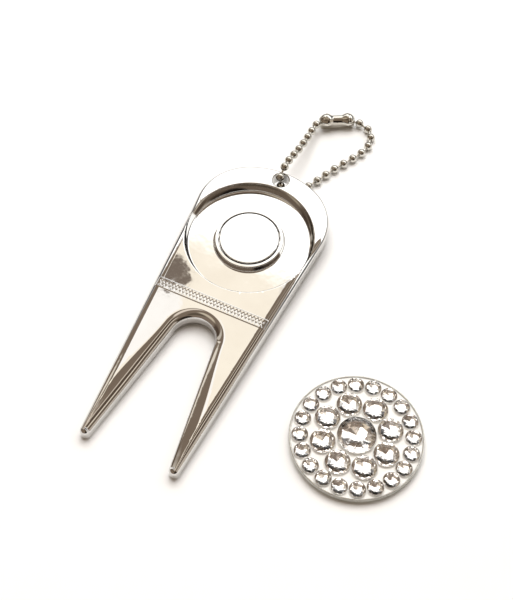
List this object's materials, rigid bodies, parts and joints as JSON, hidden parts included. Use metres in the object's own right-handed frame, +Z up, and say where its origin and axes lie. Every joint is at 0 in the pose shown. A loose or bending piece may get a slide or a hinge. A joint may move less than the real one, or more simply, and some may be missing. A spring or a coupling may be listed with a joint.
{
  "type": "golf divot repair tool",
  "caption": "Two-prong divot repair tool with a magnetic recess, a ball-chain loop and a crystal-set ball marker beside it.",
  "frame": {"origin": "on the table, under the middle of the foot of the tool and the marker together", "axes": "+Y from the prong tips to the key-ring end of the tool, +X from the tool to the marker, +Z up from the table"},
  "size_m": [0.0628, 0.0917, 0.0068],
  "materials": {
    "chrome": "bright chrome plating on zinc casting",
    "magnet": "nickel-plated disc magnet, bright",
    "nickel": "nickel-plated steel ball chain",
    "marker_steel": "satin plated steel",
    "setting": "silver-white setting resin",
    "crystal": "foil-backed clear glass crystal"
  },
  "bodies": {
    "tool": {"tool_body": "chrome", "magnet": "magnet"},
    "chain": {"chain_bead_01": "nickel", "chain_bead_02": "nickel", "chain_bead_03": "nickel", "chain_bead_04": "nickel", "chain_bead_05": "nickel", "chain_bead_06": "nickel", "chain_bead_07": "nickel", "chain_bead_08": "nickel", "chain_bead_09": "nickel", "chain_bead_10": "nickel", "chain_bead_11": "nickel", "chain_bead_12": "nickel", "chain_bead_13": "nickel", "chain_bead_14": "nickel", "chain_bead_15": "nickel", "chain_bead_16": "nickel", "chain_bead_17": "nickel", "chain_bead_18": "nickel", "chain_bead_19": "nickel", "chain_bead_20": "nickel", "chain_bead_21": "nickel", "chain_bead_22": "nickel", "chain_bead_23": "nickel", "chain_bead_24": "nickel", "chain_bead_25": "nickel"},
    "connector": {"chain_connector": "nickel"},
    "marker": {"marker_blank": "marker_steel", "marker_setting": "setting", "crystal_centre": "crystal", "crystal_middle_1": "crystal", "crystal_middle_2": "crystal", "crystal_middle_3": "crystal", "crystal_middle_4": "crystal", "crystal_middle_5": "crystal", "crystal_middle_6": "crystal", "crystal_middle_7": "crystal", "crystal_middle_8": "crystal", "crystal_outer_01": "crystal", "crystal_outer_02": "crystal", "crystal_outer_03": "crystal", "crystal_outer_04": "crystal", "crystal_outer_05": "crystal", "crystal_outer_06": "crystal", "crystal_outer_07": "crystal", "crystal_outer_08": "crystal", "crystal_outer_09": "crystal", "crystal_outer_10": "crystal", "crystal_outer_11": "crystal", "crystal_outer_12": "crystal", "crystal_outer_13": "crystal", "crystal_outer_14": "crystal", "crystal_outer_15": "crystal", "crystal_outer_16": "crystal", "crystal_outer_17": "crystal", "crystal_outer_18": "crystal", "crystal_outer_19": "crystal", "crystal_outer_20": "crystal"}
  },
  "joints": [
    {"name": "chain_swing", "type": "hinge", "parent": "tool", "child": "chain", "pos_m": [-0.01734, 0.03227, 0.00333], "axis": [0, 0, 1], "range_deg": [-25, 25]},
    {"name": "connector_swivel", "type": "hinge", "parent": "chain", "child": "connector", "pos_m": [-0.01397, 0.05443, 0.00193], "axis": [0.8544, 0.5147, -0.0721], "continuous": true},
    {"name": "marker_lift", "type": "slide", "parent": "tool", "child": "marker", "axis": [0, 0, 1], "range_m": [0, 0.025]}
  ]
}
